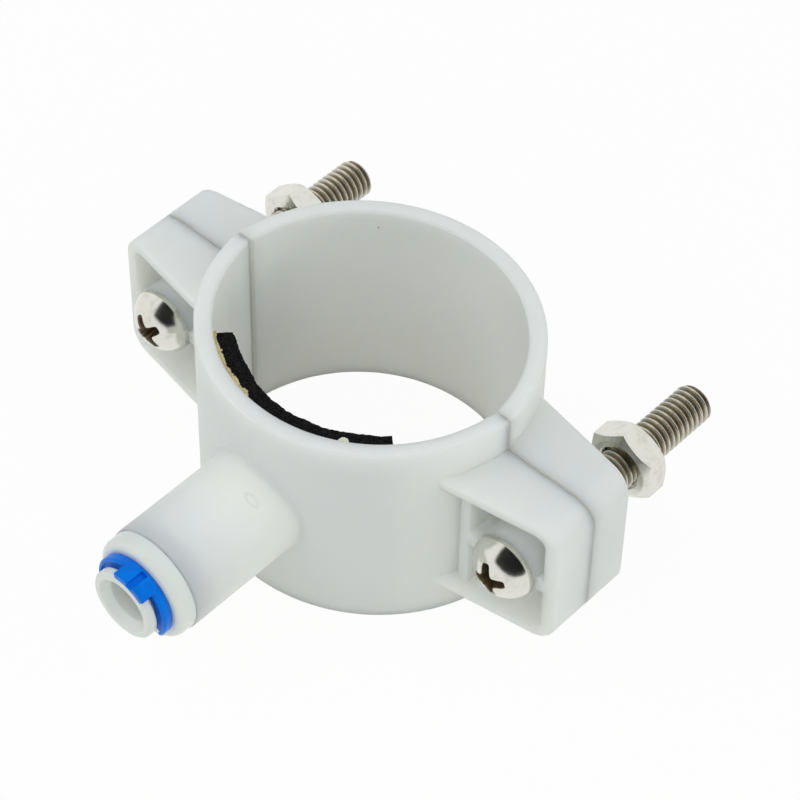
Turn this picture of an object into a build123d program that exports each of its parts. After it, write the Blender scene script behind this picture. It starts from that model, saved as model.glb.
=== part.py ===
from build123d import *
import math
import os

# Tapping saddle for a 40 mm waste pipe, with a push-fit socket for a 6.35 mm branch tube.
#
# Frame: Z is the pipe's axis and z = 0 the saddle's lower rim. The branch port leaves along -Y,
# the ears reach out along +X and -X, and the parting plane of the two halves is y = 0.
# All lengths are in millimetres.

# ---- ring of the two half shells
RING_HEIGHT = 33.3
BORE_RADIUS = 22.5
RING_WALL = 2.5
ARC_OFFSET = 2.0          # each half's arcs are struck from this far past the parting plane
PARTING_GAP = 0.1         # left between the two halves when they are closed
RIM_CHAMFER = 0.3
SEAM_CHAMFER = 0.45       # on each half's inner upright edges

# ---- ears
SCREW_SPACING = 64.0
EAR_HEIGHT = 21.9
EAR_PLATE = 1.5           # upper and lower plate
EAR_END_WALL = 2.0
EAR_INNER_WALL = 1.5
EAR_FLOOR = 1.6
EAR_CORNER = 3.4
EAR_DEPTH = 7.1           # from the parting plane to the front edge, at the outer end
EAR_FLARE = 0.17          # depth gained for each millimetre towards the ring
EAR_EDGE_ROUND = 0.5
POCKET_INSIDE = 6.5       # screw axis to the pocket's side next to the ring
POCKET_OUTSIDE = 6.0      # screw axis to the pocket's side next to the end wall
BOSS_RADIUS = 4.9
BOSS_HEIGHT = 8.0         # parting plane to the seat of head or nut
BOSS_WEB = 2.0            # height of the web that ties a boss to its pocket's sides

# ---- screws and nuts (M6)
THREAD_RADIUS = 2.95
SCREW_LENGTH = 40.0
HEAD_RADIUS = 4.85
HEAD_HEIGHT = 4.0
HEAD_EDGE = 0.8           # upright edge under the dome
TIP_CHAMFER = 0.7
RECESS_SPAN = 5.6
RECESS_WIDTH = 1.7
RECESS_DEPTH = 2.4
RECESS_TAPER = 0.55       # share of span and width left at the recess's foot
SCREW_HOLE_CLEARANCE = 0.25
NUT_CLEARANCE = 0.05
NUT_FLATS = 10.0
NUT_THICKNESS = 4.4
NUT_FACE_SHARE = 0.88     # diameter of the nut's flat face as a share of its flats
NUT_CHAMFER_ANGLE = 30.0
NUT_MOUTH = 0.45          # countersink at each end of the nut's thread
NUT_LEFT_GAP = 9.0        # free thread between the rear boss and each nut
NUT_RIGHT_GAP = 7.0
NUT_LEFT_TURN = 6.0
NUT_RIGHT_TURN = 3.0
SCREW_LEFT_TURN = 40.0
SCREW_RIGHT_TURN = 17.0

# ---- branch port, measured along its axis away from the ring
PORT_RADIUS = 7.9
PORT_LENGTH = 18.0        # ring's outside to the tube's end
PORT_DROP = 0.65          # port axis below the ring's mid-height
PORT_ROOT_FILLET = 0.9
PORT_END_CHAMFER = 0.2
TAP_BORE_RADIUS = 2.4
TUBE_RADIUS = 3.175
TUBE_CLEARANCE = 0.075
TUBE_SEAT_LENGTH = 4.5
SEAL_SECTION = 1.75
SEAL_PLAY = 0.06
SEAL_FLATS = 12           # flats that stand for the seal's round section
SPACER_LENGTH = 1.0
RING_PLAY = 0.05          # seal, spacer and cap to the wall round them
COLLET_ROOM = 2.0         # spacer to the cap's inner end

# ---- cap
CAP_RADIUS = 7.7
CAP_LENGTH = 2.75
CAP_ROUND = 1.15
CAP_SPIGOT_LENGTH = 2.7
CAP_SPIGOT_WALL = 1.2     # of the port tube round the spigot, spigot outside to port outside
CAP_CAM_LENGTH = 3.3

# ---- collet
COLLET_NECK_WALL = 0.75
COLLET_HEAD_WALL = 1.45
COLLET_HEAD_LENGTH = 1.0
COLLET_RUNNING_FIT = 0.1
COLLET_END_PLAY = 0.3     # spacer to the collet's inner end
COLLET_TRAVEL = 0.7       # left to the collet by the locking clip
COLLET_FLANGE_RADIUS = 5.26
COLLET_FLANGE_LENGTH = 1.25
COLLET_FLANGE_CHAMFER = 0.3
COLLET_MOUTH_RADIUS = 4.1
COLLET_MOUTH_DEPTH = 1.2
COLLET_LEGS = 6
COLLET_SLOT_WIDTH = 0.9
TOOTH_WIDTH = 1.6
TOOTH_THICKNESS = 0.3
TOOTH_SPAN = 0.9          # length of a blade as a share of the wall that holds it
TOOTH_LEAN = 35.0         # degrees, tips leaning towards the ring

# ---- locking clip
CLIP_RADIUS = 6.3
CLIP_LIP = 0.6
CLIP_THICKNESS = 1.5
CLIP_RECESS = 0.3
CLIP_SEAT_GAP = 0.05      # to the cap's face, and between the arms' ends and the collet's neck
CLIP_ARM_ANGLE = 105.0    # either side of the grip's middle
CLIP_TURN = 18.0          # grip's middle, from straight up towards +X
CLIP_GRIP_HEIGHT = 3.4    # cap face to the grip's front
CLIP_GRIP_ANGLE = 26.0    # half-width of the grip
CLIP_GRIP_GROOVE = 1.0
CLIP_GRIP_GROOVE_DEPTH = 0.6
CLIP_GRIP_GROOVE_FOOT = 0.5   # left uncut next to the cap
CLIP_FLANGE_CLEARANCE = 0.2
CLIP_EDGE_CHAMFER = 0.25

# ---- gasket
GASKET_THICKNESS = 3.0
GASKET_MARGIN = 2.1       # below the upper rim and above the lower
GASKET_HALF_ANGLE = 46.0
GASKET_HOLE_RADIUS = 3.5
BACKING_THICKNESS = 0.15
BACKING_SPREAD = 1.2      # degrees that the backing shows past each end of the foam
GASKET_PLAY = 0.02

# ---- worked out from the sizes above
MID_HEIGHT = RING_HEIGHT / 2
RING_RADIUS = BORE_RADIUS + RING_WALL
SCREW_X = SCREW_SPACING / 2
EAR_REACH = SCREW_X + POCKET_OUTSIDE + EAR_END_WALL
SEAM = PARTING_GAP / 2
PORT_HEIGHT = MID_HEIGHT - PORT_DROP
BORE_REACH = BORE_RADIUS - ARC_OFFSET
PORT_REACH = RING_RADIUS - ARC_OFFSET + PORT_LENGTH
FAR = 2 * (EAR_REACH + PORT_REACH)

SOCKET_RADIUS = TUBE_RADIUS + TUBE_CLEARANCE
SEAL_ROOM_RADIUS = SOCKET_RADIUS + SEAL_SECTION
SPIGOT_RADIUS = PORT_RADIUS - CAP_SPIGOT_WALL - RING_PLAY
NECK_RADIUS = SOCKET_RADIUS + COLLET_NECK_WALL
HEAD_OUT_RADIUS = SOCKET_RADIUS + COLLET_HEAD_WALL
CAP_BORE_RADIUS = NECK_RADIUS + COLLET_RUNNING_FIT
CLIP_BORE_RADIUS = (NECK_RADIUS + CLIP_SEAT_GAP) / math.sin(math.radians(CLIP_ARM_ANGLE))

# places along the port's axis, from the pipe's axis outwards
CAP_FACE = PORT_REACH + CAP_LENGTH
SPIGOT_END = PORT_REACH - CAP_SPIGOT_LENGTH
SPACER_TOP = SPIGOT_END - COLLET_ROOM
SPACER_FOOT = SPACER_TOP - SPACER_LENGTH
SEAL_FOOT = SPACER_FOOT - SEAL_SECTION - SEAL_PLAY
SEAT_FOOT = SEAL_FOOT - TUBE_SEAT_LENGTH
CLIP_REAR = CAP_FACE + CLIP_SEAT_GAP
CLIP_WEB_FRONT = CLIP_REAR + CLIP_THICKNESS - CLIP_RECESS
FLANGE_REAR = CLIP_WEB_FRONT + COLLET_TRAVEL + CLIP_SEAT_GAP
FLANGE_FRONT = FLANGE_REAR + COLLET_FLANGE_LENGTH
COLLET_FOOT = SPACER_TOP + COLLET_TRAVEL + COLLET_END_PLAY


def facing_out(x, distance, z):
    """Place whose own +Z runs along -Y, away from the pipe, and whose own +Y runs up."""
    return Location((x, -distance, z), (90, 0, 0))


PORT = facing_out(0, 0, PORT_HEIGHT)


def turned(*points):
    """Solid of revolution about Z from a closed outline of (radius, height) points."""
    return revolve(Plane.XZ * make_face(Polyline(*points, close=True)), Axis.Z)


def rod(radius, start, end):
    """Cylinder on Z from one height to another."""
    return Pos(0, 0, start) * Cylinder(radius, end - start, align=(Align.CENTER, Align.CENTER, Align.MIN))


def tube(outer, inner, start, end):
    """Hollow cylinder on Z from one height to another."""
    return rod(outer, start, end) - rod(inner, start, end)


def front_space():
    """Everything in front of the parting gap."""
    return Pos(0, -SEAM, 0) * Box(FAR, FAR, FAR, align=(Align.CENTER, Align.MAX, Align.CENTER))


# ---------------------------------------------------------------- half shells
def half_ring():
    """Half ring with chamfered rims; its inner upright edges at the seam are chamfered too."""
    plan = Circle(RING_RADIUS) - Circle(BORE_RADIUS)
    ring = extrude(plan, RING_HEIGHT)
    ring = chamfer(ring.edges().filter_by(GeomType.CIRCLE), RIM_CHAMFER)
    half = (Pos(0, ARC_OFFSET, 0) * ring) & front_space()
    edge_x = math.sqrt(BORE_RADIUS**2 - (ARC_OFFSET + SEAM) ** 2)
    bevel = SEAM_CHAMFER * math.sqrt(2)
    for side in (-1, 1):
        half -= Pos(side * edge_x, -SEAM, 0) * Rot(0, 0, 45) * Box(bevel, bevel, 2 * RING_HEIGHT)
    return half


def ear_block():
    """Both ears of one half as a solid block, with rounded ends and a flared front."""
    side = Pos(0, MID_HEIGHT) * RectangleRounded(2 * EAR_REACH, EAR_HEIGHT, EAR_CORNER)
    block = extrude(Plane.XZ.offset(SEAM) * side, FAR)
    apex = EAR_DEPTH + EAR_FLARE * EAR_REACH
    corners = [(-EAR_REACH, 0), (-EAR_REACH, -EAR_DEPTH), (0, -apex), (EAR_REACH, -EAR_DEPTH), (EAR_REACH, 0)]
    block = block & extrude(make_face(Polyline(*corners, close=True)), RING_HEIGHT)
    front = [edge for edge in block.edges() if edge.center().Y < EAR_EDGE_ROUND - EAR_DEPTH]
    rim = [edge for edge in front if abs(edge.center().X) > EAR_EDGE_ROUND]
    return fillet(rim, EAR_EDGE_ROUND)


def ear_pocket(side):
    """Hollow of one ear, open to the front, round its boss; side is +1 or -1."""
    inner_height = EAR_HEIGHT - 2 * EAR_PLATE
    outline = Pos(0, MID_HEIGHT) * RectangleRounded(
        2 * (SCREW_X + POCKET_OUTSIDE), inner_height, EAR_CORNER - EAR_PLATE
    )
    hollow = extrude(Plane.XZ.offset(EAR_FLOOR) * outline, FAR)
    keep = Pos(side * FAR / 2, 0, 0) * Box(FAR, 2 * FAR, 2 * FAR)
    hollow = (hollow & keep) - Pos(0, ARC_OFFSET, 0) * rod(RING_RADIUS, -FAR, FAR)
    return hollow - ear_core(side)


def ear_core(side):
    """What stands in one ear's pocket: inner wall, round boss and the web between the pocket's sides."""
    wall_x = SCREW_X - POCKET_INSIDE - EAR_INNER_WALL / 2
    wall = Pos(side * wall_x, -BOSS_HEIGHT / 2, MID_HEIGHT) * Box(EAR_INNER_WALL, BOSS_HEIGHT, EAR_HEIGHT)
    boss = facing_out(side * SCREW_X, 0, MID_HEIGHT) * rod(BOSS_RADIUS, 0, BOSS_HEIGHT)
    web_x = SCREW_X + (POCKET_OUTSIDE - POCKET_INSIDE) / 2
    web = Pos(side * web_x, -BOSS_HEIGHT / 2, MID_HEIGHT) * Box(
        POCKET_INSIDE + POCKET_OUTSIDE, BOSS_HEIGHT, BOSS_WEB
    )
    return wall + boss + web


def screw_holes():
    """The two clearance holes of one half."""
    hole = rod(THREAD_RADIUS + SCREW_HOLE_CLEARANCE, -PARTING_GAP, FAR)
    return [facing_out(side * SCREW_X, 0, MID_HEIGHT) * hole for side in (-1, 1)]


def plain_half():
    """One half shell in front of the parting plane, before any port."""
    block = ear_block() - Pos(0, ARC_OFFSET, 0) * rod(RING_RADIUS - RING_WALL / 2, -FAR, FAR)
    shell = half_ring() + (block - ear_pocket(-1) - ear_pocket(1))
    for hole in screw_holes():
        shell -= hole
    return shell


def port_tube():
    """The port's outside, still solid: its foot ends inside the ring's wall."""
    stem = rod(PORT_RADIUS, BORE_REACH - RING_WALL, PORT_REACH)
    stem = chamfer(stem.edges().sort_by(Axis.Z)[-1], PORT_END_CHAMFER)
    return (PORT * stem) - Pos(0, ARC_OFFSET, 0) * rod(BORE_RADIUS + RING_WALL / 2, -FAR, FAR)


def port_cavity():
    """Stepped bore of the port: pipe opening, tube seat, seal room and cap socket."""
    cavity = rod(TAP_BORE_RADIUS, BORE_REACH - RING_WALL, FAR)
    cavity += rod(SOCKET_RADIUS, SEAT_FOOT, FAR)
    cavity += rod(SEAL_ROOM_RADIUS, SEAL_FOOT, FAR)
    cavity += rod(SPIGOT_RADIUS + RING_PLAY, SPIGOT_END, FAR)
    return PORT * cavity


def port_half():
    """Front half shell: plain half, port tube with a filleted root, and the stepped bore."""
    shell = plain_half() + port_tube()
    near = PORT_RADIUS + PORT_ROOT_FILLET
    root = [
        edge
        for edge in shell.edges()
        if edge.geom_type not in (GeomType.LINE, GeomType.CIRCLE)
        and math.hypot(edge.center().X, edge.center().Z - PORT_HEIGHT) < near
        and -edge.center().Y < PORT_REACH - PORT_LENGTH / 2
    ]
    shell = fillet(root, PORT_ROOT_FILLET)
    return shell - port_cavity()


def rear_half():
    """Rear half shell: the plain half turned round the pipe."""
    return Rot(0, 0, 180) * plain_half()


# ---------------------------------------------------------------- screws and nuts
def cross_recess():
    """Two crossing slots that narrow towards their foot, cut from z = 0 down."""
    def slot(angle):
        top = Rot(0, 0, angle) * Rectangle(RECESS_SPAN, RECESS_WIDTH)
        foot = Pos(0, 0, -RECESS_DEPTH) * Rot(0, 0, angle) * Rectangle(
            RECESS_SPAN * RECESS_TAPER, RECESS_WIDTH * RECESS_TAPER
        )
        return loft([foot, top])
    return slot(0) + slot(90)


def screw():
    """Pan-head screw on Z: the head stands above z = 0 and the shank hangs below."""
    tip = -SCREW_LENGTH
    dome_rise = HEAD_HEIGHT - HEAD_EDGE
    dome_radius = (HEAD_RADIUS**2 + dome_rise**2) / (2 * dome_rise)
    shank = turned(
        (0, 0), (THREAD_RADIUS, 0), (THREAD_RADIUS, tip + TIP_CHAMFER), (THREAD_RADIUS - TIP_CHAMFER, tip),
        (0, tip),
    )
    dome = Pos(0, 0, HEAD_HEIGHT - dome_radius) * Sphere(dome_radius)
    head = rod(HEAD_RADIUS, 0, HEAD_HEIGHT) & dome
    return head + shank - Pos(0, 0, HEAD_HEIGHT) * cross_recess()


def placed_screw(side, turn):
    """A screw with its head on the front boss."""
    return facing_out(side * SCREW_X, BOSS_HEIGHT, MID_HEIGHT) * Rot(0, 0, turn) * screw()


def nut():
    """Hexagon nut on Z from z = 0 up, both faces chamfered and both mouths countersunk."""
    corner = NUT_FLATS / math.sqrt(3)
    prism = extrude(RegularPolygon(corner, 6, rotation=30), NUT_THICKNESS)
    face = NUT_FACE_SHARE * NUT_FLATS / 2
    clear = corner + NUT_CLEARANCE
    drop = (clear - face) * math.tan(math.radians(NUT_CHAMFER_ANGLE))
    envelope = turned(
        (0, 0), (face, 0), (clear, drop), (clear, NUT_THICKNESS - drop), (face, NUT_THICKNESS),
        (0, NUT_THICKNESS),
    )
    bore = THREAD_RADIUS + NUT_CLEARANCE
    mouth = bore + NUT_MOUTH
    thread = turned(
        (0, 0), (mouth, 0), (bore, NUT_MOUTH), (bore, NUT_THICKNESS - NUT_MOUTH), (mouth, NUT_THICKNESS),
        (0, NUT_THICKNESS),
    )
    return (prism & envelope) - thread


def placed_nut(side, gap, turn):
    """A nut on its screw's tail, some way behind the rear boss."""
    return facing_out(side * SCREW_X, -(BOSS_HEIGHT + gap + NUT_THICKNESS), MID_HEIGHT) * Rot(0, 0, turn) * nut()


# ---------------------------------------------------------------- push-fit socket
def o_ring():
    """Tube seal at the inner end of the seal room, its round section drawn in flats."""
    section = RegularPolygon((SEAL_SECTION - RING_PLAY) / 2, SEAL_FLATS)
    section = Pos(SOCKET_RADIUS + SEAL_SECTION / 2, SEAL_FOOT + SEAL_SECTION / 2) * section
    return PORT * revolve(Plane.XZ * section, Axis.Z)


def spacer_ring():
    """Ring that keeps the collet's legs off the seal."""
    return PORT * tube(SEAL_ROOM_RADIUS - RING_PLAY, SOCKET_RADIUS + RING_PLAY, SPACER_FOOT, SPACER_TOP)


def port_cap():
    """Cap in the port's end: spigot, rounded head, and a bore that widens inwards as the collet's cam."""
    head = rod(CAP_RADIUS, PORT_REACH, CAP_FACE)
    head = fillet(head.edges().sort_by(Axis.Z)[-1], CAP_ROUND)
    body = head + rod(SPIGOT_RADIUS, SPIGOT_END, PORT_REACH)
    cam_radius = HEAD_OUT_RADIUS + COLLET_RUNNING_FIT
    cam = turned(
        (0, SPIGOT_END), (cam_radius, SPIGOT_END), (CAP_BORE_RADIUS, SPIGOT_END + CAP_CAM_LENGTH),
        (CAP_BORE_RADIUS, CAP_FACE), (0, CAP_FACE),
    )
    return PORT * (body - cam)


def collet_blank():
    """The collet before it is slotted: head, neck, flange and coned mouth."""
    head_top = COLLET_FOOT + COLLET_HEAD_LENGTH
    neck_foot = SPIGOT_END + CAP_CAM_LENGTH - COLLET_END_PLAY
    outside = turned(
        (0, COLLET_FOOT), (HEAD_OUT_RADIUS, COLLET_FOOT), (HEAD_OUT_RADIUS, head_top),
        (NECK_RADIUS, neck_foot), (NECK_RADIUS, FLANGE_REAR), (0, FLANGE_REAR),
    )
    flange = rod(COLLET_FLANGE_RADIUS, FLANGE_REAR, FLANGE_FRONT)
    flange = chamfer(flange.edges().sort_by(Axis.Z)[-1], COLLET_FLANGE_CHAMFER)
    bore = turned(
        (0, COLLET_FOOT), (SOCKET_RADIUS, COLLET_FOOT), (SOCKET_RADIUS, FLANGE_FRONT - COLLET_MOUTH_DEPTH),
        (COLLET_MOUTH_RADIUS, FLANGE_FRONT), (0, FLANGE_FRONT),
    )
    return outside + flange - bore


def leg_turns(offset):
    """Angles of the collet's legs, or of the slots between them."""
    return [(index + offset) * 360 / COLLET_LEGS for index in range(COLLET_LEGS)]


def collet_teeth():
    """One leaning steel blade for each leg."""
    middle = SOCKET_RADIUS + COLLET_HEAD_WALL / 2
    blade = Box(COLLET_HEAD_WALL * TOOTH_SPAN, TOOTH_WIDTH, TOOTH_THICKNESS)
    blade = Pos(middle, 0, COLLET_FOOT + COLLET_HEAD_LENGTH) * Rot(0, -TOOTH_LEAN, 0) * blade
    return [PORT * Rot(0, 0, turn) * blade for turn in leg_turns(0.5)]


def collet():
    """Collet with its legs cut free of each other and a seat for each tooth."""
    slot_end = PORT_REACH
    slot = Pos(HEAD_OUT_RADIUS, 0, (COLLET_FOOT + slot_end) / 2) * Box(
        2 * HEAD_OUT_RADIUS, COLLET_SLOT_WIDTH, slot_end - COLLET_FOOT
    )
    body = collet_blank()
    for turn in leg_turns(0):
        body -= Rot(0, 0, turn) * slot
    body = PORT * body
    for tooth in collet_teeth():
        body -= tooth
    return body


# ---------------------------------------------------------------- locking clip
def sector(radius, half_angle, start, end):
    """Slice of a disc on Z, symmetric about +Y, from one height to another."""
    arc = CenterArc((0, 0), radius, 90 - half_angle, 2 * half_angle)
    outline = Line((0, 0), arc @ 0) + arc + Line(arc @ 1, (0, 0))
    return Pos(0, 0, start) * extrude(make_face(outline), end - start)


def locking_clip():
    """C-shaped clip: web round the collet's neck, lip round its edge, and a grip that stands over the flange."""
    lip_front = CLIP_REAR + CLIP_THICKNESS
    grip_front = CAP_FACE + CLIP_GRIP_HEIGHT
    disc = rod(CLIP_RADIUS, CLIP_REAR, lip_front)
    disc = chamfer(disc.edges().filter_by(GeomType.CIRCLE), CLIP_EDGE_CHAMFER)
    disc -= rod(CLIP_RADIUS - CLIP_LIP, CLIP_WEB_FRONT, lip_front)
    disc -= rod(CLIP_BORE_RADIUS, CLIP_REAR, lip_front)
    arms = disc & sector(2 * CLIP_RADIUS, CLIP_ARM_ANGLE, CLIP_REAR, lip_front)
    grip_foot = COLLET_FLANGE_RADIUS + CLIP_FLANGE_CLEARANCE
    grip = tube(CLIP_RADIUS, grip_foot, CLIP_WEB_FRONT, grip_front)
    grip = grip & sector(2 * CLIP_RADIUS, CLIP_GRIP_ANGLE, CLIP_WEB_FRONT, grip_front)
    groove_foot = CLIP_REAR + CLIP_GRIP_GROOVE_FOOT
    groove = Pos(0, CLIP_RADIUS, (groove_foot + grip_front) / 2) * Box(
        CLIP_GRIP_GROOVE, 2 * CLIP_GRIP_GROOVE_DEPTH, grip_front - groove_foot
    )
    return PORT * Rot(0, 0, -CLIP_TURN) * (arms + grip - groove)


# ---------------------------------------------------------------- gasket
def lining(outer, inner, half_angle):
    """Strip of a given inner and outer radius that lines the front half's bore."""
    strip = tube(outer, inner, GASKET_MARGIN, RING_HEIGHT - GASKET_MARGIN)
    strip = strip & (Rot(0, 0, 180) * sector(2 * outer, half_angle, 0, RING_HEIGHT))
    hole = PORT * rod(GASKET_HOLE_RADIUS, 0, FAR)
    return Pos(0, ARC_OFFSET, 0) * strip - hole


def gasket_backing():
    """Paper backing between foam and shell, a little longer than the foam."""
    outer = BORE_RADIUS - GASKET_PLAY
    return lining(outer, outer - BACKING_THICKNESS, GASKET_HALF_ANGLE + BACKING_SPREAD)


def foam_gasket():
    """Foam pad on the paper backing."""
    outer = BORE_RADIUS - BACKING_THICKNESS - 2 * GASKET_PLAY
    return lining(outer, BORE_RADIUS - GASKET_THICKNESS, GASKET_HALF_ANGLE)


def build():
    """Every piece by its node name."""
    return {
        "port_half": port_half(),
        "rear_half": rear_half(),
        "screw_left": placed_screw(-1, SCREW_LEFT_TURN),
        "screw_right": placed_screw(1, SCREW_RIGHT_TURN),
        "nut_left": placed_nut(-1, NUT_LEFT_GAP, NUT_LEFT_TURN),
        "nut_right": placed_nut(1, NUT_RIGHT_GAP, NUT_RIGHT_TURN),
        "port_cap": port_cap(),
        "spacer_ring": spacer_ring(),
        "o_ring": o_ring(),
        "collet": collet(),
        "collet_teeth": Compound(children=collet_teeth()),
        "locking_clip": locking_clip(),
        "foam_gasket": foam_gasket(),
        "gasket_backing": gasket_backing(),
    }


os.makedirs("parts", exist_ok=True)
for name, shape in build().items():
    export_step(shape, f"parts/{name}.step")
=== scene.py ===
import math

import bpy
import numpy as np
from mathutils import Matrix, Vector


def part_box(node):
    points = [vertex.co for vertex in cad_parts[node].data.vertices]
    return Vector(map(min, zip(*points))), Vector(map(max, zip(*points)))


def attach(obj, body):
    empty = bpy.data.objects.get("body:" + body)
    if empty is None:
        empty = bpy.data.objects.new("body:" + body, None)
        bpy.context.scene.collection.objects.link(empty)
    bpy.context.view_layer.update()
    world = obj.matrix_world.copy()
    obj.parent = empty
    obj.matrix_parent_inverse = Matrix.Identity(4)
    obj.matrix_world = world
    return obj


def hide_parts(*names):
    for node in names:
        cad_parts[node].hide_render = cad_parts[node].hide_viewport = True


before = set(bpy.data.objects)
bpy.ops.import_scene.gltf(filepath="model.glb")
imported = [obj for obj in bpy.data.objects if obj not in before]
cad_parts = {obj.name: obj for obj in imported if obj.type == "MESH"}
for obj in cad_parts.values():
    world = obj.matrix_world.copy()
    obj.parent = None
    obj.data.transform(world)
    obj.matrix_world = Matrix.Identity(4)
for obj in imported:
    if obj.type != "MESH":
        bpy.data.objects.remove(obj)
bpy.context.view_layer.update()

# ------------------------------------------------------------------ half shells
# Two injection-moulded halves of white polypropylene close round the waste pipe. The front half
# carries the branch port, and both have hollow ears with a boss for each screw. Their faces have
# a fine satin skin, faint flow marks and a speck of workshop dust. The bore is painted lighter,
# for light that bounces round inside it, and the parting seam carries painted warm shade.


class Socket:
    """A shader value that can stand in plain sums: each operator adds its Math node."""

    def __init__(self, paint, link):
        self.paint = paint
        self.link = link

    def math(self, operation, first, second):
        return self.paint.node("ShaderNodeMath", {"operation": operation}, {0: first, 1: second})

    def __add__(self, other):
        return self.math("ADD", self, other)

    def __radd__(self, other):
        return self.math("ADD", other, self)

    def __sub__(self, other):
        return self.math("SUBTRACT", self, other)

    def __rsub__(self, other):
        return self.math("SUBTRACT", other, self)

    def __mul__(self, other):
        return self.math("MULTIPLY", self, other)

    def __rmul__(self, other):
        return self.math("MULTIPLY", other, self)

    def __abs__(self):
        return self.math("ABSOLUTE", self, 0)

    def __pow__(self, power):
        return self.math("POWER", self, power)

    def ramp(self, low, high):
        """0 below low and 1 above high, with a smooth rise between them."""
        settings = {"interpolation_type": "SMOOTHSTEP"}
        return self.paint.node("ShaderNodeMapRange", settings, {0: self, 1: low, 2: high})


class Nodes:
    """A node tree, with the one method that adds a node to it."""

    def __init__(self, tree):
        self.tree = tree

    def node(self, kind, settings, sockets, output=0):
        node = self.tree.nodes.new(kind)
        for setting, value in settings.items():
            setattr(node, setting, value)
        for socket, value in sockets.items():
            if isinstance(value, Socket):
                self.tree.links.new(value.link, node.inputs[socket])
            else:
                node.inputs[socket].default_value = value
        return Socket(self, node.outputs[output])

    def seen_directly(self):
        """1 for rays from the camera, from mirrors and through clear pieces, and 0 for the rest."""
        kinds = ("Is Camera Ray", "Is Glossy Ray", "Is Transmission Ray")
        camera, mirror, clear = [self.node("ShaderNodeLightPath", {}, {}, kind) for kind in kinds]
        return camera + mirror + clear


class Paint(Nodes):
    """A material with one Principled shader."""

    def __init__(self, name, **constants):
        self.material = bpy.data.materials.new(name)
        self.material.use_nodes = True
        super().__init__(self.material.node_tree)
        self.shader = self.tree.nodes["Principled BSDF"]
        for socket, value in constants.items():
            self.shader.inputs[socket.replace("_", " ")].default_value = value

    def place(self):
        """The object's own coordinates, in millimetres."""
        metres = self.node("ShaderNodeTexCoord", {}, {}, "Object")
        return self.node("ShaderNodeVectorMath", {"operation": "SCALE"}, {0: metres, "Scale": 1000.0})

    def coordinate(self, axis):
        """One of the object's coordinates in millimetres: X, Y or Z."""
        return self.node("ShaderNodeSeparateXYZ", {}, {0: self.place()}, axis)

    def distance(self, centre):
        """Distance in millimetres from a point."""
        settings = {"operation": "DISTANCE"}
        return self.node("ShaderNodeVectorMath", settings, {0: self.place(), 1: centre}, "Value")

    def noise(self, waves, detail=2.0, place=None):
        """Soft noise from 0 to 1, with so many waves a millimetre."""
        sockets = {"Vector": place or self.place(), "Scale": waves, "Detail": detail}
        return self.node("ShaderNodeTexNoise", {}, sockets)

    def stretched(self, stretch):
        """The object's coordinates squeezed by three factors, which draws noise out into streaks."""
        sockets = {0: self.place(), 1: stretch}
        return self.node("ShaderNodeVectorMath", {"operation": "MULTIPLY"}, sockets)

    def blend(self, share, first, second):
        """Mix of two colours."""
        return self.node("ShaderNodeMix", {"data_type": "RGBA"}, {0: share, 6: first, 7: second}, 2)

    def feed(self, socket, value):
        """Links a varying value to one of the shader's own sockets."""
        self.tree.links.new(value.link, self.shader.inputs[socket])

    def relief(self, height, depth, soft_edge=0):
        """Bump from a height of 0 to 1 that stands for a depth, over edges softened to a radius.

        Both are in millimetres.
        """
        sockets = {"Distance": depth / 1000, "Height": height}
        if soft_edge:
            radius = {"Radius": soft_edge / 1000}
            sockets["Normal"] = self.node("ShaderNodeBevel", {"samples": 4}, radius)
        self.feed("Normal", self.node("ShaderNodeBump", {}, sockets))

    def share(self, name):
        """A value that the mesh carries at its points."""
        return self.node("ShaderNodeAttribute", {"attribute_name": name}, {}, "Fac")


def dress(node, paint):
    """Gives a CAD node its finish."""
    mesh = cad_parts[node].data
    for index in range(len(mesh.materials)):
        mesh.materials[index] = paint.material


SHELL_WHITE = (0.92, 0.935, 0.905, 1)
SHELL_WARM = (0.92, 0.93, 0.88, 1)
# painted light: the bore's whiter, warmer colour stands for light bouncing round inside it
BORE_PAINTED_LIGHT = (0.97, 0.97, 0.90, 1)
BORE_LIGHT_REACH = 23.5                       # from the pipe's axis, just past the bore's wall: how far the bore's painted light reaches
# painted shade: a warm tint for the shade in the groove between the two halves
SEAM_PAINTED_SHADE = (0.88, 0.86, 0.72, 1)
SEAM_SHADE_REACH = 0.3                        # how far the seam's painted warm shade spreads either side
GATE_GREY = (0.60, 0.62, 0.61, 1)
GATE_PLACE = (3.83, -26.7, 22.91)       # scar of the moulding gate, on the port's upper side
GATE_STRETCH = (0.5, 1.0, 0.5)          # the scar is twice as long round the port as along it
GATE_RADIUS = 0.55
DUST = (0.30, 0.24, 0.18, 1)
DUST_PLACE = (-13.45, 16.04, 30.34)     # on the rear half's bore, just under its rim
DUST_RADIUS = 0.17

shell = Paint("shell_polypropylene", IOR=1.49, Subsurface_Weight=1.0, Subsurface_Scale=0.005)
shell.shader.inputs["Subsurface Radius"].default_value = (1.0, 0.94, 0.82)
mottle = shell.noise(0.12, 3.0)
white = shell.blend(mottle.ramp(0.35, 0.7), SHELL_WHITE, SHELL_WARM)
# Mask of the painted shade along the parting plane: 1 near Y = 0, fading out to its reach.
seam = 1 - abs(shell.coordinate("Y")).ramp(0.5 * SEAM_SHADE_REACH, SEAM_SHADE_REACH)
speck = 1 - shell.distance(DUST_PLACE).ramp(0.5 * DUST_RADIUS, DUST_RADIUS)
gate_centre = [place * stretch for place, stretch in zip(GATE_PLACE, GATE_STRETCH)]
ends = {0: shell.stretched(GATE_STRETCH), 1: gate_centre}
from_gate = shell.node("ShaderNodeVectorMath", {"operation": "DISTANCE"}, ends, "Value")
scar = 1 - abs(from_gate - GATE_RADIUS).ramp(0.05, 0.22)
axis_distance = (shell.coordinate("X") ** 2 + shell.coordinate("Y") ** 2) ** 0.5
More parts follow.
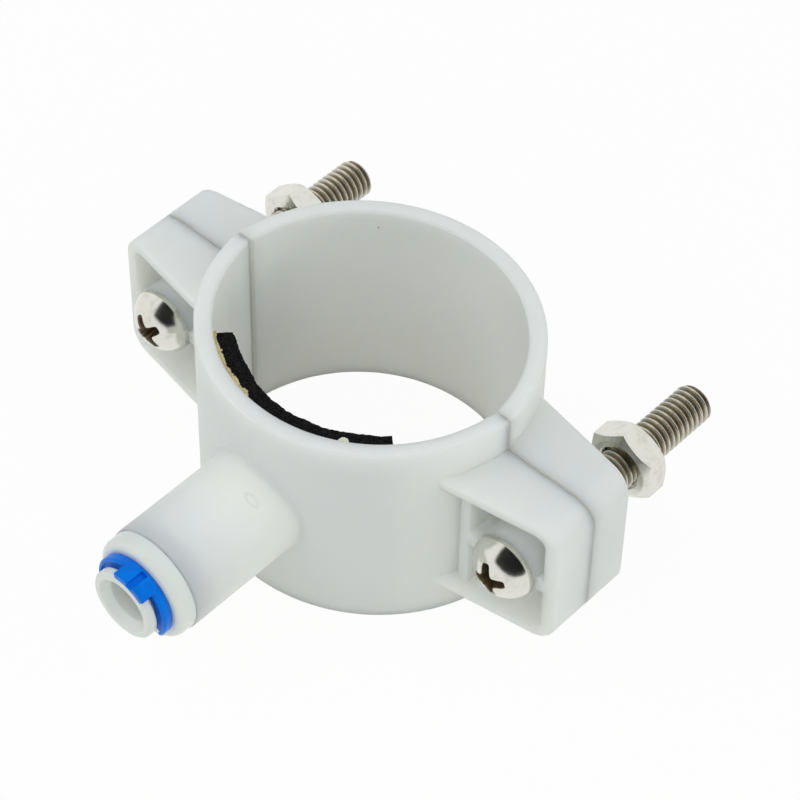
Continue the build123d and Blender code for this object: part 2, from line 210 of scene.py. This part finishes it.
# Painted light: the shell is painted whiter and warmer inside the bore than outside it.
white = shell.blend(axis_distance.ramp(BORE_LIGHT_REACH - 0.5, BORE_LIGHT_REACH + 0.5), BORE_PAINTED_LIGHT, white)
# Painted shade: a warm tint along the parting plane, which also colours the halves' mating faces.
white = shell.blend(0.8 * seam, white, SEAM_PAINTED_SHADE)
white = shell.blend(0.2 * scar, white, GATE_GREY)
shell.feed("Base Color", shell.blend(speck, white, DUST))
shell.feed("Roughness", 0.34 + 0.12 * shell.noise(0.6, 4.0))
flow = shell.noise(1.0, 2.0, shell.stretched((0.25, 0.25, 0.9)))
shell.relief(0.5 * shell.noise(3.5, 3.0) + 0.3 * flow - 2 * scar, 0.012, soft_edge=0.18)
dress("port_half", shell)
dress("rear_half", shell)

# ------------------------------------------------------------------ foam gasket
# A strip of black closed-cell foam, die-cut with a hole for the branch, seals the port to the
# pipe. It is stuck in the front half's bore, and its cut faces show open cells.


def ripple(points, waves, seed):
    """Soft noise of about -1 to 1: the mean of sine waves that run in random directions."""
    draw = np.random.default_rng(seed)
    count = 24
    directions = draw.normal(size=(count, 3))
    directions /= np.linalg.norm(directions, axis=1)[:, None]
    rates = 2 * np.pi * waves * draw.uniform(0.6, 1.7, count)
    phases = draw.uniform(0, 2 * np.pi, count)
    return np.sin(points @ (directions * rates[:, None]).T + phases).sum(axis=-1) / math.sqrt(count)


def solid_skin(name, points, faces, paint, smooth=True):
    """Object from points in millimetres and arrays of faces."""
    mesh = bpy.data.meshes.new(name)
    mesh.from_pydata((points / 1000).tolist(), [], [face for group in faces for face in group.tolist()])
    mesh.materials.append(paint.material)
    mesh.shade_smooth() if smooth else mesh.shade_flat()
    mesh.update()
    thing = bpy.data.objects.new(name, mesh)
    bpy.context.scene.collection.objects.link(thing)
    return thing


def grid_faces(rows, turns, close_rows=False):
    """Quads of a grid whose turns wrap round, and whose rows wrap too if asked."""
    last = rows if close_rows else rows - 1
    row, turn = np.meshgrid(np.arange(last), np.arange(turns), indexing="ij")
    under = row * turns
    over = (row + 1) % rows * turns
    side = (turn + 1) % turns
    return np.stack([under + turn, under + side, over + side, over + turn], axis=-1).reshape(-1, 4)


BORE_RADIUS = 22.5
ARC_Y = 2.0                              # centre of the front half's arcs
PORT_HEIGHT = 16.0
HOLE_RADIUS = 3.5
FOAM_OUTER = 22.29
FOAM_INNER = 19.55
FOAM_ANGLES = (43.4, 47.6)               # either side of the port, in degrees
FOAM_HEIGHTS = (2.15, 31.15)
FOAM_EDGE = 0.25
FOAM_BULGES = ((-25, 10, 0.4), (35, 6, 0.25))   # angle and half-width in degrees, and height
FOAM_PINCH_WIDTH = 2.5                   # degrees in from the left end
FOAM_PINCH = 0.35


def holed_sheet(turns, middle, angles, heights, thick, edge, rows, walls):
    """Closed skin of a flat sheet with the branch hole: arc length, depth and height.

    Each row lies between the hole's circle and the sheet's outline, which is a rectangle in arc
    length and height. The rows run out over the back, round the outer edge, in over the front
    and down the hole's wall.
    """
    reach = np.array([np.cos(turns), np.sin(turns)])
    half = np.radians(np.where(reach[0] > 0, angles[1], angles[0])) * middle
    tall = np.where(reach[1] > 0, heights[1] - PORT_HEIGHT, PORT_HEIGHT - heights[0])
    outline = np.minimum(half / np.maximum(abs(reach[0]), 1e-6), tall / np.maximum(abs(reach[1]), 1e-6))
    share = np.linspace(0, 1, rows)
    inset = edge * (1 - np.sin(np.linspace(0, np.pi / 2, 4)))
    lift = edge - inset[::-1]
    wall = np.linspace(edge, thick - edge, walls)
    along = np.concatenate([share, np.ones(2 * len(inset) + walls), share[::-1], 0 * wall])
    face = 0 * share + edge
    inward = np.concatenate([face, inset, 0 * wall, inset[::-1], face, 0 * wall])
    depth = np.concatenate([0 * share, lift, wall, thick - lift[::-1], 0 * share + thick, wall[::-1]])
    outer = outline[None, :] - inward[:, None] * (along[:, None] > 0)
    distance = HOLE_RADIUS + (outer - HOLE_RADIUS) * along[:, None]
    depth = np.broadcast_to(depth[:, None], distance.shape)
    return np.stack([distance * reach[0], depth, PORT_HEIGHT + distance * reach[1]], axis=-1)


def bent(angle, radius, height):
    """Points round the front half's bore: an angle in radians from the port, a radius and a height."""
    return np.stack([radius * np.sin(angle), ARC_Y - radius * np.cos(angle), height], axis=-1)


def foam_points(turns):
    """The pad's skin, bent to the bore and pushed in by its cells.

    The front bulges as two Gaussian bumps of the angle and is pinched at the left end.
    """
    middle = (FOAM_OUTER + FOAM_INNER) / 2
    thick = FOAM_OUTER - FOAM_INNER
    sheet = holed_sheet(turns, middle, FOAM_ANGLES, FOAM_HEIGHTS, thick, FOAM_EDGE, rows=44, walls=9)
    grid = sheet.shape[:2]
    sheet = sheet.reshape(-1, 3)
    arc, depth, height = sheet.T
    degrees = np.degrees(arc / middle)
    cells = 0.05 * np.clip(ripple(sheet, 1.1, 3), -1, 1) + 0.06 * np.clip(ripple(sheet, 0.25, 4), -1, 1)
    bulge = sum(rise * np.exp(-((degrees - angle) / width) ** 2) for angle, width, rise in FOAM_BULGES)
    pinch = FOAM_PINCH * np.exp(-((degrees + FOAM_ANGLES[0]) / FOAM_PINCH_WIDTH) ** 2)
    front = np.clip(depth / thick, 0, 1)
    ragged_top = np.where(height > FOAM_HEIGHTS[1] - 1, 0.06 * ripple(sheet, 0.7, 5), 0)
    radius = FOAM_OUTER - depth + (cells - 0.11 - bulge + pinch) * front
    return bent(arc / middle, radius, height + ragged_top), grid


FOAM_BLACK = (0.004, 0.004, 0.004, 1)
FOAM_GREY = (0.016, 0.015, 0.016, 1)

foam_paint = Paint("gasket_foam", Roughness=1.0, Specular_IOR_Level=0.08)
cell_size = {"Vector": foam_paint.place(), "Scale": 3.2}
cell = foam_paint.node("ShaderNodeTexVoronoi", {}, cell_size, "Distance")
foam_paint.feed("Base Color", foam_paint.blend(cell.ramp(0.25, 0.7), FOAM_BLACK, FOAM_GREY))
foam_paint.relief(cell, 0.08)
points, grid = foam_points(np.linspace(0, 2 * np.pi, 560, endpoint=False))
foam = solid_skin("foam_pad", points, [grid_faces(*grid, close_rows=True)], foam_paint)
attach(foam, "front")
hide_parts("foam_gasket")

# ------------------------------------------------------------------ gasket backing
# Beige paper that carries the foam's glue. It lies between the foam and the bore, and where the
# pad was pulled off its roll, the paper stands a little proud and its edge is torn.

BACKING_OUTER = 22.47
BACKING_INNER = 22.33
BACKING_ANGLES = (43.9, 47.9)
BACKING_HEIGHTS = (2.1, 31.2)
LIP_FOOT = 0.6                           # of the lip below the sheet's upper edge
LIP_THICK = 0.12
LIP_TONGUES = ((-34.6, 0.5, 0.3), (29.9, 2.5, 1.8))   # angle, half-width in degrees, and reach


def sheet_points(turns):
    """The paper's skin under the foam, with the branch hole in it."""
    thick = BACKING_OUTER - BACKING_INNER
    outline = (BACKING_ANGLES, BACKING_HEIGHTS)
    sheet = holed_sheet(turns, BACKING_OUTER, *outline, thick, 0.02, rows=14, walls=2)
    grid = sheet.shape[:2]
    arc, depth, height = sheet.reshape(-1, 3).T
    return bent(arc / BACKING_OUTER, BACKING_OUTER - depth, height), grid


def lip_points():
    """Closed strip: rows go once round its thin section, and columns run along the bore's arc.

    The paper's upper edge is folded in over the foam as a torn lip. Its reach is a ribbon that
    widens from the left end, plus two short tongues, made ragged by two sine sums.
    """
    angle = np.linspace(-BACKING_ANGLES[0], BACKING_ANGLES[1], 560)

    def tongue(centre, width, reach):
        return reach * np.exp(-(((angle - centre) / width) ** 4))
    ribbon = (0.28 + 0.026 * (angle + BACKING_ANGLES[0])) * np.clip((-8 - angle) / 4, 0, 1)
    first, second = [tongue(*sizes) for sizes in LIP_TONGUES]
    fold = np.maximum(ribbon, 0) + first + second
    along = np.stack([np.radians(angle) * BORE_RADIUS, 0 * angle, 0 * angle], axis=-1)
    ragged = 0.05 * ripple(along, 0.5, 8) + 0.05 * ripple(along, 1.9, 9)
    reach = np.clip(fold * (1 + ragged) + np.where(fold > 0.3, ragged, 0), 0.02, None)
    lift = 0.1 * np.clip(reach, 0, 1) * ripple(along, 0.35, 10) ** 2 + 0.02
    top = BACKING_HEIGHTS[1] + 0.02
    flat = 0 * angle
    sections = [
        (BACKING_OUTER + flat, top - LIP_FOOT + flat),
        (BACKING_INNER + flat, top - LIP_FOOT + flat),
        (BACKING_INNER + flat, top - LIP_THICK + flat),
        (BACKING_INNER - 0.5 * reach, top + 0.5 * lift),
        (BACKING_INNER - reach, top + lift),
        (BACKING_INNER - reach, top + lift + LIP_THICK),
        (BACKING_INNER - 0.5 * reach, top + 0.5 * lift + LIP_THICK),
        (BACKING_OUTER + flat, top + flat),
    ]
    return np.array([bent(np.radians(angle), radius, height) for radius, height in sections])


def strip_faces(rows, columns):
    """Quads round a strip's section, with a closing face at each end."""
    row, column = np.meshgrid(np.arange(rows), np.arange(columns - 1), indexing="ij")
    here = row * columns
    over = (row + 1) % rows * columns
    sides = np.stack([here + column, over + column, over + column + 1, here + column + 1], axis=-1)
    ends = np.array([np.arange(rows)[::-1] * columns, np.arange(rows) * columns + columns - 1])
    return [sides.reshape(-1, 4), ends]


BACKING_BEIGE = (0.80, 0.66, 0.36, 1)
BACKING_DARK = (0.50, 0.38, 0.20, 1)
BACKING_PALE = (0.86, 0.83, 0.70, 1)

paper = Paint("backing_paper", Roughness=0.8)
beige = paper.blend(paper.noise(1.2, 4.0).ramp(0.4, 0.75), BACKING_BEIGE, BACKING_DARK)
paper.feed("Base Color", paper.blend(paper.coordinate("X").ramp(2, 6), beige, BACKING_PALE))
paper.relief(paper.noise(6.0), 0.02)
points, grid = sheet_points(np.linspace(0, 2 * np.pi, 360, endpoint=False))
lip = lip_points()
faces = [grid_faces(*grid, close_rows=True)]
faces += [group + len(points) for group in strip_faces(*lip.shape[:2])]
points = np.concatenate([points, lip.reshape(-1, 3)])
backing = solid_skin("torn_backing", points, faces, paper, smooth=False)
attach(backing, "front")
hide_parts("gasket_backing")

# ------------------------------------------------------------------ port cap, spacer and seal
# The cap and the spacer ring are turned-looking acetal mouldings, smoother than the shells. The
# seal is a black nitrile ring that the spacer keeps clear of the collet's legs.

CAP_WHITE = (0.83, 0.85, 0.83, 1)
SEAL_BLACK = (0.015, 0.015, 0.015, 1)

scatter = {"Subsurface_Weight": 0.3, "Subsurface_Scale": 0.0015}
cap = Paint("cap_acetal", Base_Color=CAP_WHITE, IOR=1.48, **scatter)
cap.feed("Roughness", 0.16 + 0.1 * cap.noise(0.8, 3.0))
cap.relief(cap.noise(4.0), 0.004, soft_edge=0.15)
dress("port_cap", cap)
dress("spacer_ring", cap)

nitrile = Paint("seal_nitrile", Base_Color=SEAL_BLACK, Roughness=0.5)
nitrile.relief(nitrile.noise(5.0), 0.01)
dress("o_ring", nitrile)

# ------------------------------------------------------------------ collet and its teeth
# The release collet slides in the cap and ends in a rounded flange with a coned mouth. Steel
# teeth moulded into its legs grip the branch tube.

COLLET_WHITE = (0.82, 0.85, 0.84, 1)
TOOTH_STEEL = (0.55, 0.55, 0.56, 1)

scatter = {"Subsurface_Weight": 0.3, "Subsurface_Scale": 0.001}
acetal = Paint("collet_acetal", Base_Color=COLLET_WHITE, IOR=1.48, **scatter)
acetal.feed("Roughness", 0.3 + 0.12 * acetal.noise(1.0, 3.0))
acetal.relief(acetal.noise(5.0), 0.006, soft_edge=0.25)
dress("collet", acetal)

teeth = Paint("tooth_steel", Base_Color=TOOTH_STEEL, Metallic=1.0)
teeth.feed("Roughness", 0.25 + 0.15 * teeth.noise(3.0))
dress("collet_teeth", teeth)

# ------------------------------------------------------------------ locking clip
# A C of glossy blue polypropylene snaps round the collet's neck between cap and flange, so that
# the collet can't be pushed in by accident.

CLIP_BLUE = (0.002, 0.205, 0.88, 1)
CLIP_DEEP = (0.002, 0.165, 0.77, 1)

blue = Paint("clip_blue", Specular_IOR_Level=0.3, Specular_Tint=(0.1, 0.45, 1.0, 1))
blue.feed("Base Color", blue.blend(blue.noise(0.5, 3.0).ramp(0.3, 0.7), CLIP_BLUE, CLIP_DEEP))
blue.feed("Roughness", 0.3 + 0.1 * blue.noise(1.5, 3.0))
blue.relief(blue.noise(4.0), 0.006, soft_edge=0.15)
dress("locking_clip", blue)

# ------------------------------------------------------------------ clamp screws
# Two M6 x 40 pan-head machine screws, cold-formed in steel and nickel-plated, with rolled
# threads. They pass through the ears' bosses from the front.

HEAD_RADIUS = 4.85
HEAD_HEIGHT = 4.0
HEAD_EDGE = 0.8                          # upright edge under the dome
HEAD_CORNER = 0.22
RECESS_REACH = 2.65
RECESS_HALF = 0.7
RECESS_DEPTH = 2.4
RECESS_TAPER = 0.5
RECESS_LIP = 0.06
THREAD_CREST = 2.95
THREAD_ROOT = 2.42
THREAD_PITCH = 1.0
THREAD_ROWS = 16                         # rows of points for each pitch
SCREW_TURNS = {"left": 40.0, "right": 17.0}


def cross_outline(turns, reach, half):
    """Distance from the axis to a cross's edge in each direction.

    The cross is two crossing bars with round ends. A bar's edge is the nearer of its side and
    its end, the cross takes the farther of its two bars, and a soft maximum fills the nooks.
    """
    def bar(angle):
        side = half / np.maximum(abs(np.sin(angle)), 1e-6)
        return (side**-6 + float(reach) ** -6) ** (-1 / 6)
    return (bar(turns) ** 3 + bar(turns + np.pi / 2) ** 3) ** (1 / 3)


def head_rows(turns):
    """Radius, height and grime of the head's rows, from the recess's foot out to the seat.

    The foot and wall follow the cross's outline, shrunk towards the foot. The dome is part of
    a sphere, which a small arc and an upright edge join to the seat.
    """
    rise = HEAD_HEIGHT - HEAD_EDGE
    sphere = (HEAD_RADIUS**2 + rise**2) / (2 * rise)

    def dome(radius):
        return HEAD_HEIGHT - sphere + np.sqrt(sphere**2 - np.minimum(radius, HEAD_RADIUS) ** 2)
    top = cross_outline(turns, RECESS_REACH, RECESS_HALF)
    foot = cross_outline(turns, RECESS_REACH * RECESS_TAPER, RECESS_HALF * RECESS_TAPER)
    floor = HEAD_HEIGHT - RECESS_DEPTH
    lip = dome(top)
    flat = 0 * turns
    rows = []
    for share in np.linspace(0.1, 1, 7):
        rows.append((foot * share, floor - 0.25 * (1 - share) + flat, 1.0))
    for share in np.linspace(0.12, 0.94, 10):
        height = floor + (lip - RECESS_LIP - floor) * share
        rows.append((foot + (top - foot) * share, height, 1.2 - 0.5 * share))
    rows.append((top + 0.3 * RECESS_LIP, lip - 0.4 * RECESS_LIP, 0.35))
    rows.append((top + RECESS_LIP, dome(top + RECESS_LIP), 0.1))
    start = top + 2 * RECESS_LIP
    for share in np.linspace(0, 1, 32):
        radius = start + (HEAD_RADIUS - start) * math.sin(share * math.pi / 2)
        rows.append((radius, dome(radius), 0.0))
    for height in np.linspace(HEAD_EDGE - 0.1, HEAD_CORNER, 5):
        rows.append((HEAD_RADIUS + flat, height + flat, 0.0))
    for angle in np.linspace(0, np.pi / 2, 5)[1:]:
        inset = HEAD_CORNER * (1 - math.cos(angle))
        height = HEAD_CORNER * (1 - math.sin(angle))
        rows.append((HEAD_RADIUS - inset + flat, height + flat, 0.2))
    rows.append((THREAD_ROOT + flat, flat, 0.5))
    return rows


def shank_rows(turns, length):
    """Radius, height and grime of the shank's rows, from inside the head to the tip.

    The radius falls from crest to root as a flat-topped wave of the height plus one pitch for
    each turn, and a cone trims the last threads.
    """
    heights = np.linspace(0.3, -length, int((length + 0.3) * THREAD_ROWS / THREAD_PITCH))
    wave = (heights[:, None] / THREAD_PITCH + turns / (2 * np.pi)) % 1
    away = abs(2 * wave - 1)
    flank = np.clip((away - 0.16) / 0.62, 0, 1)
    radius = THREAD_CREST - (THREAD_CREST - THREAD_ROOT) * flank
    cone = THREAD_ROOT - 0.15 + (heights[:, None] + length) * 1.1
    radius = np.minimum(radius, cone)
    rows = zip(radius, heights, flank)
    return [(ring, height + 0 * turns, 0.25 + 0.75 * deep) for ring, height, deep in rows]


def closed_skin(rows, turns):
    """Points, faces and grime of a skin over rows of rings, closed at both ends in a fan."""
    rings = [np.stack([r * np.cos(turns), r * np.sin(turns), z], axis=-1) for r, z, _ in rows]
    first_tip = [[0, 0, rings[0][:, 2].mean() - 0.02]]
    last_tip = [[0, 0, rings[-1][:, 2].mean()]]
    points = np.concatenate(rings + [first_tip, last_tip])
    grime = [np.broadcast_to(deep, len(turns)) for _, _, deep in rows]
    grime = np.concatenate(grime + [grime[0][:1], grime[-1][:1]])
    count = len(turns)
    turn = np.arange(count)
    after = (turn + 1) % count
    last = (len(rows) - 1) * count
    first_fan = np.stack([turn, 0 * turn + len(points) - 2, after], axis=-1)
    last_fan = np.stack([last + after, 0 * turn + len(points) - 1, last + turn], axis=-1)
    faces = [grid_faces(len(rows), count), first_fan, last_fan]
    return points, [group[:, ::-1] for group in faces], grime


NICKEL_BRIGHT = (0.73, 0.73, 0.67, 1)
NICKEL_DULL = (0.62, 0.61, 0.54, 1)
NICKEL_GRIME = (0.24, 0.19, 0.11, 1)

nickel = Paint("screw_nickel", Metallic=1.0)
plating = nickel.blend(nickel.noise(0.7, 4.0).ramp(0.45, 0.8), NICKEL_BRIGHT, NICKEL_DULL)
grime = nickel.share("grime")
nickel.feed("Base Color", nickel.blend(grime.ramp(0.0, 1.0), plating, NICKEL_GRIME))
nickel.feed("Roughness", 0.12 + 0.14 * nickel.noise(1.3, 5.0) + 0.25 * grime)
nickel.relief(nickel.noise(2.5, 4.0), 0.005, soft_edge=0.12)

for side in ("left", "right"):
    low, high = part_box("screw_" + side)
    low, high = np.array(low) * 1000, np.array(high) * 1000
    centre = (low + high) / 2
    head_turns = np.linspace(0, 2 * np.pi, 288, endpoint=False)
    shank_turns = np.linspace(0, 2 * np.pi, 96, endpoint=False)
    length = high[1] - low[1] - HEAD_HEIGHT
    head_points, head_faces, head_grime = closed_skin(head_rows(head_turns), head_turns)
    shank_points, shank_faces, shank_grime = closed_skin(shank_rows(shank_turns, length), shank_turns)
    local = np.concatenate([head_points, shank_points])
    faces = head_faces + [group + len(head_points) for group in shank_faces]
    turn = math.radians(SCREW_TURNS[side])
    across = local[:, 0] * math.cos(turn) - local[:, 1] * math.sin(turn)
    upward = local[:, 0] * math.sin(turn) + local[:, 1] * math.cos(turn)
    seat = low[1] + HEAD_HEIGHT
    points = np.stack([centre[0] + across, seat - local[:, 2], centre[2] + upward], axis=-1)
    screw = solid_skin("threaded_screw_" + side, points, faces, nickel)
    worn = screw.data.attributes.new("grime", "FLOAT", "POINT")
    worn.data.foreach_set("value", np.concatenate([head_grime, shank_grime]).astype(np.float32))
    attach(screw, side + "_screw")
    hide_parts("screw_" + side)

# ------------------------------------------------------------------ nuts
# Two hexagon nuts, cut from bar, chamfered on both faces and nickel-plated as the screws are.
# They sit loose on the screws' tails.

dress("nut_left", nickel)
dress("nut_right", nickel)

# ------------------------------------------------------------------ floor and light
# A white table under six soft boxes, with white surroundings. The boxes don't show in the
# plating, which mirrors the surroundings and a dark board above and to the right.


def stage_paint(name, colour, shown):
    """Diffuse colour that looks white by a given share to the camera and in mirrors."""
    paint = Paint(name, Base_Color=colour, Roughness=0.9)
    glow = paint.node("ShaderNodeEmission", {}, {"Color": (1, 1, 1, 1), "Strength": 1.0})
    lit = Socket(paint, paint.shader.outputs[0])
    share = shown * paint.seen_directly()
    mixed = paint.node("ShaderNodeMixShader", {}, {0: share, 1: lit, 2: glow})
    paint.tree.links.new(mixed.link, paint.tree.nodes["Material Output"].inputs["Surface"])
    return paint


def board(name, centre, facing, width, height, paint, roll=0):
    """Flat rectangle in metres about a centre, facing along a direction and rolled about it."""
    turn = Vector(facing).to_track_quat("Z", "Y").to_matrix()
    turn = turn @ Matrix.Rotation(math.radians(roll), 3, "Z")
    corners = [(-width, -height), (width, -height), (width, height), (-width, height)]
    corners = [Vector(centre) + turn @ Vector((x / 2, y / 2, 0)) for x, y in corners]
    mesh = bpy.data.meshes.new(name)
    mesh.from_pydata(corners, [], [(0, 1, 2, 3)])
    mesh.materials.append(paint.material)
    thing = bpy.data.objects.new(name, mesh)
    bpy.context.scene.collection.objects.link(thing)
    return thing


def lamp(name, centre, aim, size, power, colour):
    """Square soft box at a place in metres, aimed at a point."""
    light = bpy.data.lights.new(name, "AREA")
    light.shape = "SQUARE"
    light.size = size
    light.energy = power
    light.color = colour
    thing = bpy.data.objects.new(name, light)
    thing.location = centre
    thing.rotation_euler = (Vector(centre) - Vector(aim)).to_track_quat("Z", "Y").to_euler()
    bpy.context.scene.collection.objects.link(thing)
    return thing


table = stage_paint("table_white", (0.96, 0.94, 0.87, 1), 0.95)
board("table", (0, 0, 0), (0, 0, 1), 6.0, 6.0, table)

flag = Paint("flag_black", Base_Color=(0.01, 0.01, 0.01, 1), Roughness=1.0)
dark_board = board("flag", (0.46, -0.50, 0.62), (-0.48, 0.50, -0.66), 2.0, 1.5, flag, roll=35)
for rays in ("camera", "diffuse", "shadow", "transmission"):
    setattr(dark_board, "visible_" + rays, False)

OBJECT_MIDDLE = (0, 0, 0.015)
COOL = (0.965, 1.0, 0.985)
SOFT_BOXES = {                           # place in metres, and power in watts
    "front_left": ((-0.5, -0.6, 1.1), 5.6),
    "front_right": ((0.7, -0.8, 0.9), 5.8),
    "back_right": ((0.6, 0.6, 1.1), 2.4),
    "back_left": ((-0.7, 0.5, 1.0), 2.2),
    "low_left": ((-1.1, -0.8, 0.45), 2.2),
    "low_right": ((1.2, 0.5, 0.6), 4.2),
}
for place, (centre, power) in SOFT_BOXES.items():
    box = lamp("soft_box_" + place, centre, OBJECT_MIDDLE, 1.3, power, COOL)
    box.visible_glossy = False

world = bpy.data.worlds.new("white_studio")
bpy.context.scene.world = world
world.use_nodes = True
sky = Nodes(world.node_tree)
plain = sky.tree.nodes["Background"]
plain.inputs["Color"].default_value = (0.92, 1.0, 1.03, 1)
plain.inputs["Strength"].default_value = 0.2
plain = Socket(sky, plain.outputs[0])
seen_white = sky.node("ShaderNodeBackground", {}, {"Color": (1, 1, 1, 1)})
choose = sky.node("ShaderNodeMixShader", {}, {0: sky.seen_directly(), 1: plain, 2: seen_white})
sky.tree.links.new(choose.link, sky.tree.nodes["World Output"].inputs["Surface"])

# ------------------------------------------------------------------ camera
# A long lens looks down on the port's corner from the front right, tipped a little to the side.

CAMERA_PLACE = (0.186108, -0.202511, 0.329069)
CAMERA_TURN = 41.708
CAMERA_HEIGHT = 48.517
CAMERA_ROLL = 1.42
CAMERA_LENS = 136.34

turn = math.radians(CAMERA_TURN)
lift = math.radians(CAMERA_HEIGHT)
back = Vector((math.sin(turn) * math.cos(lift), -math.cos(turn) * math.cos(lift), math.sin(lift)))
level = Vector((math.cos(turn), math.sin(turn), 0))
upright = back.cross(level)
aim = Matrix((level, upright, back)).transposed() @ Matrix.Rotation(math.radians(CAMERA_ROLL), 3, "Z")
eye = bpy.data.cameras.new("camera")
eye.lens = CAMERA_LENS
eye.sensor_width = 36.0
eye.clip_start = 0.01
camera = bpy.data.objects.new("camera", eye)
camera.matrix_world = Matrix.Translation(CAMERA_PLACE) @ aim.to_4x4()
bpy.context.scene.collection.objects.link(camera)
bpy.context.scene.camera = camera
bpy.context.scene.view_settings.view_transform = "Standard"
